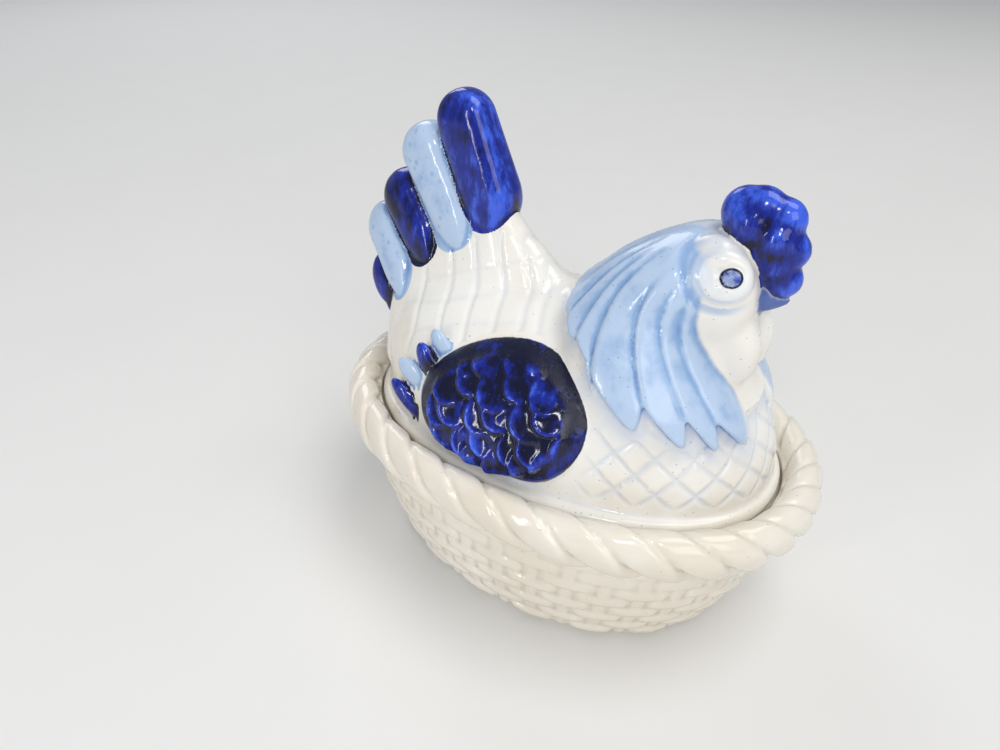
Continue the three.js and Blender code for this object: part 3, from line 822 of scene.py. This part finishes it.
# ribs of the back and the arcs across them, as lines seen from the side: each place is x and z
backRibs = [
    [(-50, 127), (-48.5, 122), (-44.7, 110), (-40, 98)], [(-40, 133), (-38.2, 126), (-33.2, 113), (-28, 101)],
    [(-30, 137), (-28.5, 130), (-22, 116), (-17, 106)], [(-21, 138), (-19.6, 132), (-11.6, 117), (-6, 108)],
    [(-12, 134), (-11.2, 128), (-5.5, 118), (2, 108)], [(-61, 116), (-58.3, 106), (-55.5, 98), (-55.6, 90)],
]
backArcs = [
    [(-64, 104), (-52.5, 108), (-35.4, 114), (-20.9, 118), (-2, 121)],
    [(-62, 93), (-48.6, 100), (-29, 108), (-8, 113)], [(-60, 113), (-52.7, 116), (-35.2, 123), (-14, 129)],
]
lineLook = dict(ribWidth=1.3, ribDeep=0.55, arcWidth=0.9, arcDeep=0.25, crossDeep=0.55, wingGap=1.05)
breastLook = dict(apart=7, rise=6.6, middle=80, width=0.095, ahead=28, low=67, top=92, ringAt=0.2, places=720)


def lineDepth(x, z, line, width):
    # 1 on a curve through a few places and 0 beyond its width
    curve = along(line, np.linspace(0, 1, 40))
    best = np.full(len(x), 1e9)
    for (ax, az), (bx, bz) in zip(curve[:-1], curve[1:]):
        dx, dz = bx - ax, bz - az
        t = np.clip(((x - ax) * dx + (z - az) * dz) / (dx * dx + dz * dz), 0, 1)
        best = np.minimum(best, np.hypot(x - ax - t * dx, z - az - t * dz))
    return bell(best, width)


def lineSet(x, z, lines, width):
    return np.max([lineDepth(x, z, line, width) for line in lines], axis=0)


def lattice(p):
    # crossed lines over the breast, by distance round it and height
    k, b = breastLook, bodyLook
    ahead = bodyRing(k["ringAt"], 0, k["places"])[:k["places"] // 4 + 1]
    steps = np.concatenate([[0], np.cumsum(np.linalg.norm(np.diff(ahead[:, :2], axis=0), axis=1))])
    turn = lambda x, y: np.arctan2(y / b["width"], np.maximum(x, 1) / b["front"])
    s = np.interp(turn(p[:, 0], np.abs(p[:, 1])), turn(ahead[:, 0], ahead[:, 1]), steps)
    side, up = s / k["apart"], (p[:, 2] - k["middle"]) / k["rise"]
    near = lambda place: bell(place - np.round(place), k["width"])
    return np.maximum(near((side + up) / 2), near((side - up) / 2))


def henParts():
    # every part of the hen with the name of its zone
    parts = [("body", bodyPart()), ("root", tailRootPart()), ("cape", capePart()), ("beak", beakPart()),
             ("throat", facePart("throat"))]
    parts += [(f"feather{n}", featherPart(row)) for n, row in enumerate(feathers)]
    parts += [("comb", part) for part in combParts()]
    right = [("eye", eyePart()), ("cheek", facePart("cheek")), ("wattle", facePart("wattle"))]
    right += [("wing", wingPart())]
    right += [("tip" + row["blue"], wingTipPart(row)) for row in wingTips]
    return parts + right + [(name, mirror(part)) for name, part in right]


def hollowOut(obj):
    b = bodyLook
    inner = (lidLook["length"] - b["wall"], lidLook["width"] - b["wall"])
    rings = [ovalRing(*inner, z, 240) for z in (b["hollowBase"], lidLook["top"])]
    rings += [bodyRing(b["hollowFrom"] + b["hollowOver"] * t, b["shell"], 240) for t in np.linspace(0, 1, 30)]
    cut(obj, loft(rings))
    a = turns(120)
    rows = [neckPoint(np.full(120, b["neckHollow"] * t), a, -b["neckShell"]) for t in np.linspace(0, 1, 12)]
    cut(obj, loft([bustRing(a, -b["neckShell"])] + rows))


class Zones:
    # the part of the hen that each point of its joined skin lies nearest to
    def __init__(self, parts, places, every=3):
        sparse = [(name, part[0][::every]) for name, part in parts]
        bust = every * capeLook["columns"]
        skirt = [(np.arange(len(part[0]))[::every] < bust) & (name == "cape") for name, part in parts]
        self.names = sorted({name for name, _ in parts})
        self.sources = np.concatenate([spots for _, spots in sparse])
        self.labels = np.concatenate([np.full(len(spots), self.names.index(name)) for name, spots in sparse])
        self.underCape = np.concatenate(skirt)
        self.closest = nearest(self.sources, places)

    def share(self, *which):
        return np.isin(self.labels[self.closest], [self.names.index(name) for name in which]).astype(float)

    def bust(self):
        # the bust's skin below the hackle, which capePart makes too
        return self.underCape[self.closest]

    def capeGap(self, places):
        cape = self.sources[(self.labels == self.names.index("cape")) & ~self.underCape]
        return np.linalg.norm(cape[nearest(cape, places)] - places, axis=1)

    def gap(self, places):
        return np.linalg.norm(self.sources[self.closest] - places, axis=1)


def softForm(zones, around, start):
    # the comb's lobes, the jowls and the tail's root run softly into what carries them
    x, _, z = start.T
    comb = around.smoothed(zones.share("comb"), 4)
    p = around.softened(start, comb * 0.9, 14)
    jowl = np.clip(2.2 * around.smoothed(zones.share("throat", "wattle", "cheek"), 34), 0, 1)
    jowl = jowl * smooth((148 - z) / 10)
    jowl *= 1 - 0.8 * smooth((116 - z) / 6) * smooth((x - 62) / 6)
    p = around.softened(p, jowl * 0.95, 50)
    saddle = around.smoothed(zones.share("body", "root"), 8) * smooth((z - 98) / 10)
    saddle = saddle * smooth((145 - z) / 12) * smooth((40 - x) / 12)
    return around.softened(p, saddle, 50)


class Lines:
    # ribs and arcs on the back and crossed lines on the breast
    def __init__(self, zones, around, start, p):
        x, _, z = start.T
        k, b = lineLook, breastLook
        onBack = around.smoothed(zones.share("body", "root"), 2) * (wingPlace(x, z) > k["wingGap"])
        self.ribs = lineSet(x, z, backRibs, k["ribWidth"]) * onBack
        self.arcs = lineSet(x, z, backArcs, k["arcWidth"]) * onBack
        breast = zones.share("body") * smooth((x - b["ahead"]) / 10)
        self.crossed = lattice(p) * breast * smooth((z - b["low"]) / 3) * (1 - smooth((z - b["top"]) / 6))

    def depth(self):
        k = lineLook
        return k["ribDeep"] * self.ribs + k["arcDeep"] * self.arcs + k["crossDeep"] * self.crossed

    def colour(self):
        return np.maximum(0.42 * self.crossed, np.maximum(0.14 * self.ribs, 0.12 * self.arcs))


def paintHen(mesh, zones, around, p, lines, eye):
    # the masks that say where each glaze lies
    x, y, z = p.T
    soft = around.smoothed
    cheeks = np.clip(2.4 * soft(zones.share("throat", "wattle", "cheek"), 60), 0, 1)
    attribute(mesh, "hollow", soft(around.hollows(mesh, p, 26, 0.7) * (1 - 0.75 * cheeks), 3))
    skin = np.maximum(zones.share("body"), zones.share("cape") * zones.bust())
    # a pale blue tint fading out from the hackle's edge over the body
    capeEdgeTint = bell(zones.capeGap(p), 6) * skin * (1 - cheeks)
    attribute(mesh, "lines", soft(np.maximum(lines.colour(), 0.55 * capeEdgeTint), 3))
    # painted light: the cheeks and wattles are marked for whitening, to stand in for light falling on them
    attribute(mesh, "cheeks", cheeks * smooth((148 - z) / 8))

    which, within = featherPlace(x, z)
    onTail = smooth((within + 0.9) / 1.2 + 0.5)
    blueTail, paleTail = onTail * (which % 2 == 0), onTail * (which % 2 == 1)
    onFlank = (np.abs(y) > flank(x, z) * 0.8) * (z < wingLook["paintTop"])
    wing = smooth((1 - wingPlace(x, z)) * 24 + 0.4) * onFlank
    cobalt = np.maximum(soft(zones.share("comb", "tipcobalt"), 3), np.maximum(wing, blueTail))
    attribute(mesh, "cobalt", cobalt)
    tailTone = onTail * np.choose(which, [row["tone"] for row in feathers])
    tone = 0.22 * soft(zones.share("comb"), 3) - 0.22 * wing - 0.1 * zones.share("tipcobalt") + tailTone
    attribute(mesh, "tone", tone)
    u, v = wingAxes(x, z)
    # painted dark reflection: the wing's smooth rim, most of all towards its top, is marked for darker cobalt
    attribute(mesh, "rim", soft(wing * (1 - wingField(u, v)) * smooth((v + 9) / 14), 2))

    onCape = ~zones.bust() & (zones.gap(p) < 2.2)
    fromFront = np.abs(np.degrees(np.arctan2(np.abs(y), x - 36)))
    cape = zones.share("cape") * onCape * (1 - 0.9 * cheeks) * smooth((fromFront - lappetEdges[0]) / 12)
    crown = smooth((z - 148) / 6) * smooth((x - 30) / 10) * (1 - zones.share("comb"))
    crown = crown * smooth((eyeFrame()[0][0] + 9 - x) / 5)
    tips = soft(paleTail + zones.share("tippale") * 0.9, 3)
    attribute(mesh, "pale", tips + soft(np.maximum(cape, 0.48 * crown), 12))
    attribute(mesh, "dimpled", paleTail * smooth((within - 2.5) / 2))
    attribute(mesh, "eyeOut", eye.r)
    attribute(mesh, "discOut", eye.disc)
    attribute(mesh, "discWhite", eye.white())
    attribute(mesh, "behindEye", eye.behind)
    attribute(mesh, "beak", soft(zones.share("beak"), 2))


def buildHen():
    parts = henParts()
    obj = remeshed(meshObject("henLid", *joined([part for _, part in parts])))
    print("hen skin", len(obj.data.vertices), "points")
    hollowOut(obj)
    remeshed(obj)
    mesh = obj.data
    around = Around(mesh)
    start = around.relaxed(points(mesh), 4)
    start = start + 0.3 * (around.smoothed(start, 2) - start)
    setPoints(mesh, start)
    zones = Zones(parts, start)
    p = softForm(zones, around, start)
    eye = EyeField(start)
    lines = Lines(zones, around, start, p)
    onHead = 1 - around.smoothed(zones.share("comb", "beak", "eye"), 2)
    p = p + normals(mesh) * (eye.rise() * onHead - lines.depth())[:, None]
    setPoints(mesh, p)
    paintHen(mesh, zones, around, p, lines, eye)
    print("hen", len(p), "points")
    return obj


def srgb(r, g, b):
    line = lambda v: v / 12.92 if v <= 0.04045 else ((v + 0.055) / 1.055) ** 2.4
    return (line(r / 255), line(g / 255), line(b / 255), 1)


class Nodes:
    # short calls for building a material's nodes
    def __init__(self, name):
        self.material = bpy.data.materials.new(name)
        self.material.use_nodes = True
        self.tree = self.material.node_tree
        self.tree.nodes.clear()
        self.surface = self.add("ShaderNodeBsdfPrincipled")
        self.add("ShaderNodeOutputMaterial", {"Surface": self.surface.outputs["BSDF"]})
        self.place = self.add("ShaderNodeTexCoord").outputs["Object"]

    def fill(self, node, inputs):
        # sets or links a node's inputs, by name or by number
        for key, value in inputs.items():
            if isinstance(value, bpy.types.NodeSocket):
                self.tree.links.new(value, node.inputs[key])
            else:
                node.inputs[key].default_value = value

    def add(self, kind, inputs=None, **values):
        node = self.tree.nodes.new(kind)
        for name, value in values.items():
            setattr(node, name, value)
        self.fill(node, inputs or {})
        return node

    def field(self, name):
        return self.add("ShaderNodeAttribute", attribute_name=name).outputs["Fac"]

    def math(self, operation, a, b=0.0, clamp=False):
        return self.add("ShaderNodeMath", {0: a, 1: b}, operation=operation, use_clamp=clamp).outputs[0]

    def plus(self, a, b, clamp=False):
        return self.math("ADD", a, b, clamp)

    def times(self, a, b):
        return self.math("MULTIPLY", a, b)

    def swing(self, value, middle, gain):
        # a value's distance from its middle, made larger
        return self.times(self.math("SUBTRACT", value, middle), gain)

    def ramp(self, value, low, high, a=0.0, b=1.0):
        inputs = dict(enumerate((value, low, high, a, b)))
        return self.add("ShaderNodeMapRange", inputs, interpolation_type="SMOOTHSTEP").outputs[0]

    def shifted(self, shift, stretch=(1, 1, 1)):
        inputs = {"Vector": self.place, "Scale": stretch, "Location": shift}
        return self.add("ShaderNodeMapping", inputs).outputs[0]

    def noise(self, size, detail=2.0, rough=0.5, stretch=(1, 1, 1), seed=0.0):
        # size is how wide the noise's patches are, in millimetres
        place = self.shifted((seed, seed * 1.7, seed * 0.6), stretch)
        inputs = {"Vector": place, "Scale": 1 / (size * mm), "Detail": detail, "Roughness": rough}
        return self.add("ShaderNodeTexNoise", inputs).outputs["Fac"]

    def specks(self, apart, radius, share, seed=0.0):
        # small round spots in a share of the cells
        inputs = {"Vector": self.shifted((seed, seed, seed)), "Scale": 1 / (apart * mm)}
        cells = self.add("ShaderNodeTexVoronoi", inputs, feature="F1").outputs
        near = self.ramp(cells["Distance"], radius / apart, radius / apart * 0.4)
        split = self.add("ShaderNodeSeparateColor", {0: cells["Color"]})
        return self.times(near, self.math("LESS_THAN", split.outputs[0], share))

    def mix(self, share, a, b):
        return self.add("ShaderNodeMix", {0: share, 6: a, 7: b}, data_type="RGBA").outputs[2]

    def bump(self, *layers):
        # each layer is a height and how far it stands out, in millimetres
        inputs = {"Strength": 1}
        for height, reach in layers:
            inputs.update({"Distance": reach * mm, "Height": height})
            inputs["Normal"] = self.add("ShaderNodeBump", inputs).outputs[0]
        self.fill(self.surface, {"Normal": inputs["Normal"]})

    def coloured(self, base):
        self.fill(self.surface, {"Base Color": base})
        return self.material


# creaseShade is painted shade for the dish's hollows
glaze = dict(
    cream=srgb(232, 227, 216), warm=srgb(224, 216, 201), creaseShade=srgb(150, 140, 122), speck=srgb(96, 92, 92),
    white=srgb(238, 237, 232), lid=srgb(226, 230, 234), blueSpeck=srgb(72, 82, 112), pool=srgb(146, 176, 220),
    pale=srgb(138, 171, 212), paleLight=srgb(181, 202, 229), paleDeep=srgb(96, 130, 189),
    cobalt=srgb(18, 36, 138), cobaltDark=srgb(3, 8, 44), cobaltLight=srgb(60, 96, 222),
    beak=srgb(84, 106, 170), eye=srgb(48, 72, 168), eyeLight=srgb(150, 166, 205),
    roughness=0.13, ior=1.45, coat=0.1, coatRoughness=0.04, wobble=0.5, grain=0.05, wrinkle=0.35,
)


def glazeSurface(n, *layers):
    n.fill(n.surface, {"Roughness": glaze["roughness"], "IOR": glaze["ior"],
                       "Coat Weight": glaze["coat"], "Coat Roughness": glaze["coatRoughness"]})
    n.bump((n.noise(14), glaze["wobble"]), (n.noise(2.2, seed=3), glaze["grain"]), *layers)


def speckled(n, base, colour, strength, small, large):
    spots = n.math("MAXIMUM", n.specks(*small), n.specks(*large))
    return n.mix(n.times(spots, strength), base, colour)


def creamMaterial():
    n = Nodes("dishGlaze")
    glazeSurface(n)
    base = n.mix(n.ramp(n.noise(45, 3, 0.6), 0.35, 0.68), glaze["cream"], glaze["warm"])
    # painted shade: the dish's hollows, the rope's notches and the gaps in the weave darken towards a
    # brownish grey
    base = n.mix(n.ramp(n.field("hollow"), 0.05, 0.9, 0, 0.4), base, glaze["creaseShade"])
    return n.coloured(speckled(n, base, glaze["speck"], 0.65, (3.6, 0.3, 0.45), (13, 0.5, 0.4, 4)))


def whiteGlaze(n, hollow, blotch):
    # white to cream, with pale blue pooled in hollows and lines, a pale blue tint beside the hackle, and
    # painted light whitening the cheeks
    base = n.mix(n.ramp(n.noise(40, 3, 0.6, seed=8), 0.35, 0.68), glaze["white"], glaze["cream"])
    pool = n.plus(n.ramp(hollow, 0.2, 0.95, 0, 0.5), n.times(n.field("lines"), 0.85), clamp=True)
    base = n.mix(n.times(pool, n.ramp(blotch, 0.25, 0.75, 0.6, 1)), base, glaze["pool"])
    # painted light: the cheeks go half way to white
    return n.mix(n.times(n.field("cheeks"), 0.5), base, glaze["white"])


def paleGlaze(n, base, hollow, blotch):
    # pale blue, deeper where it pools, with dimples in the tail's feathers
    depth = n.plus(n.ramp(hollow, -0.25, 0.55), n.swing(blotch, 0.5, 1.1), clamp=True)
    colour = n.mix(n.ramp(depth, 0, 0.55), glaze["paleLight"], glaze["pale"])
    colour = n.mix(n.ramp(depth, 0.5, 1.1), colour, glaze["paleDeep"])
    dimples = n.times(n.specks(4.2, 1.5, 0.8, 9), n.field("dimpled"))
    colour = n.mix(n.times(dimples, 0.3), colour, glaze["paleDeep"])
    soft = n.plus(n.field("pale"), n.swing(blotch, 0.5, 0.35))
    return n.mix(n.ramp(soft, 0.25, 0.8), base, colour)


def discGlaze(n, base):
    # a white disc round the eye, with blue in the grooves behind it
    disc = n.field("discOut")
    base = n.mix(n.times(n.field("discWhite"), 0.8), base, glaze["lid"])
    inner = n.times(n.ramp(disc, 6.4, 7.4), n.ramp(disc, 8.6, 7.4))
    outer = n.times(n.ramp(disc, 9.4, 10.9), n.ramp(disc, 13.5, 11.3))
    ring = n.plus(n.times(inner, 0.35), n.times(outer, 0.62))
    return n.mix(n.times(ring, n.field("behindEye")), base, glaze["pool"])


def cobaltGlaze(n, base, hollow):
    # cobalt, brushed on thick, and thinner on what stands out, with a painted dark reflection on the wing's
    # rim
    edge = n.noise(2.6, 3, 0.65, seed=5)
    brush = n.noise(5, 4, 0.7, stretch=(1, 1, 0.35), seed=2)
    streak = n.noise(3.2, 5, 0.75, stretch=(1, 1, 0.22), seed=11)
    patch = n.noise(16, 3, 0.6, seed=12)
    thin = n.plus(n.swing(brush, 0.5, 2.2), n.ramp(hollow, 0.5, -0.8, -0.6, 0.55))
    thin = n.plus(thin, n.swing(streak, 0.5, 1.6))
    thin = n.plus(thin, n.swing(patch, 0.45, 2.2))
    # painted dark reflection: the cobalt goes darker on the wing's rim
    thin = n.plus(n.math("SUBTRACT", thin, n.times(n.field("rim"), 0.45)), n.field("tone"))
    colour = n.mix(n.ramp(thin, -0.5, 0.2), glaze["cobaltDark"], glaze["cobalt"])
    colour = n.mix(n.ramp(thin, 0.15, 0.95), colour, glaze["cobaltLight"])
    strong = n.plus(n.field("cobalt"), n.swing(edge, 0.5, 0.45))
    return n.mix(n.ramp(strong, 0.36, 0.62), base, colour)


def eyeGlaze(n, base):
    # a blue ball with a dark rim
    out = n.field("eyeOut")
    base = n.mix(n.ramp(out, 3.3, 2.95), base, glaze["cobaltDark"])
    glint = n.ramp(n.noise(2.6, 3, 0.6, seed=21), 0.42, 0.66)
    return n.mix(n.ramp(out, 2.7, 2.1), base, n.mix(glint, glaze["eye"], glaze["eyeLight"]))


def henMaterial():
    n = Nodes("henGlaze")
    glazeSurface(n, (n.times(n.noise(1.3, 4, 0.7, seed=14), n.field("rim")), glaze["wrinkle"]))
    hollow, blotch = n.field("hollow"), n.noise(9, 4, 0.62, seed=1)
    base = paleGlaze(n, whiteGlaze(n, hollow, blotch), hollow, blotch)
    base = cobaltGlaze(n, discGlaze(n, base), hollow)
    base = n.mix(n.field("beak"), eyeGlaze(n, base), glaze["beak"])
    return n.coloured(speckled(n, base, glaze["blueSpeck"], 0.6, (2.5, 0.3, 0.6, 1), (10, 0.5, 0.5, 6)))


floorLook = dict(half=4, rough=0.8, specular=0.2, patch=60, low=srgb(226, 226, 225), top=srgb(229, 229, 228))


def buildFloor():
    k = floorLook
    mesh = bpy.data.meshes.new("floor")
    corners = [(x * k["half"], y * k["half"], 0) for x, y in ((-1, -1), (1, -1), (1, 1), (-1, 1))]
    mesh.from_pydata(corners, [], [(0, 1, 2, 3)])
    floor = placed("floor", mesh)
    n = Nodes("floorPaper")
    n.fill(n.surface, {"Roughness": k["rough"], "Specular IOR Level": k["specular"]})
    mesh.materials.append(n.coloured(n.mix(n.noise(k["patch"]), k["low"], k["top"])))


# the studio: sky, and rectangular lamps aimed at the dish, in metres and watts
skyLook = dict(colour=(0.94, 0.96, 1, 1), strength=0.34)
lampAim = (0, 0, 0.08)
lamps = dict(
    keyLamp=dict(place=(0.7, 0.2, 2.2), size=(1.4, 1.4), power=24, colour=(1, 0.98, 0.95)),
    sideLamp=dict(place=(1.5, -1.2, 1.1), size=(1.2, 1.2), power=12, colour=(1, 0.98, 0.96)),
    backLamp=dict(place=(-1.6, 1.1, 1.3), size=(1.0, 1.0), power=9, colour=(0.95, 0.97, 1)),
    windowLamp=dict(place=(-0.3, -1.15, 0.32), size=(0.05, 0.5), power=2.2, colour=(1, 1, 1)),
    glintLamp=dict(place=(0.3, -0.95, 0.95), size=(0.18, 0.18), power=2.8, colour=(1, 1, 1)),
)


def buildWorld():
    world = bpy.data.worlds.new("studio")
    world.use_nodes = True
    sky = world.node_tree.nodes["Background"].inputs
    sky["Color"].default_value = skyLook["colour"]
    sky["Strength"].default_value = skyLook["strength"]
    bpy.context.scene.world = world


def buildLamp(name, place, size, power, colour):
    light = bpy.data.lights.new(name, "AREA")
    light.shape = "RECTANGLE"
    light.size, light.size_y = size
    light.energy = power
    light.color = colour
    lamp = placed(name, light)
    lamp.location = place
    lamp.rotation_euler = (Vector(lampAim) - Vector(place)).to_track_quat("-Z", "Y").to_euler()


cameraLook = dict(
    lens=27.36, sensor=36, nearest=0.01, place=(0.12293450, -0.22656582, 0.24981091),
    right=(0.81868958, 0.57419621, 0.00678826), ahead=(-0.47563796, 0.68469375, -0.55223455),
)


def buildCamera():
    # the photograph's viewpoint
    k = cameraLook
    data = bpy.data.cameras.new("camera")
    data.lens = k["lens"]
    data.sensor_width = k["sensor"]
    data.clip_start = k["nearest"]
    camera = placed("camera", data)
    back = -np.array(k["ahead"])
    axes = np.stack([k["right"], np.cross(k["right"], k["ahead"]), back, k["place"]], -1)
    camera.matrix_world = Matrix([*axes.tolist(), (0, 0, 0, 1)])
    bpy.context.scene.camera = camera


def coat(obj, material):
    obj.data.materials.clear()
    obj.data.materials.append(material)


bpy.context.scene.view_settings.view_transform = "Standard"
buildCamera()
buildFloor()
buildWorld()
for name, look in lamps.items():
    buildLamp(name, **look)
print("camera, floor and light")

dish = buildDish()
coat(dish, creamMaterial())
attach(dish, "dish")
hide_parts("nest_dish")

hen = buildHen()
coat(hen, henMaterial())
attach(hen, "lid")
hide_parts("hen_lid")
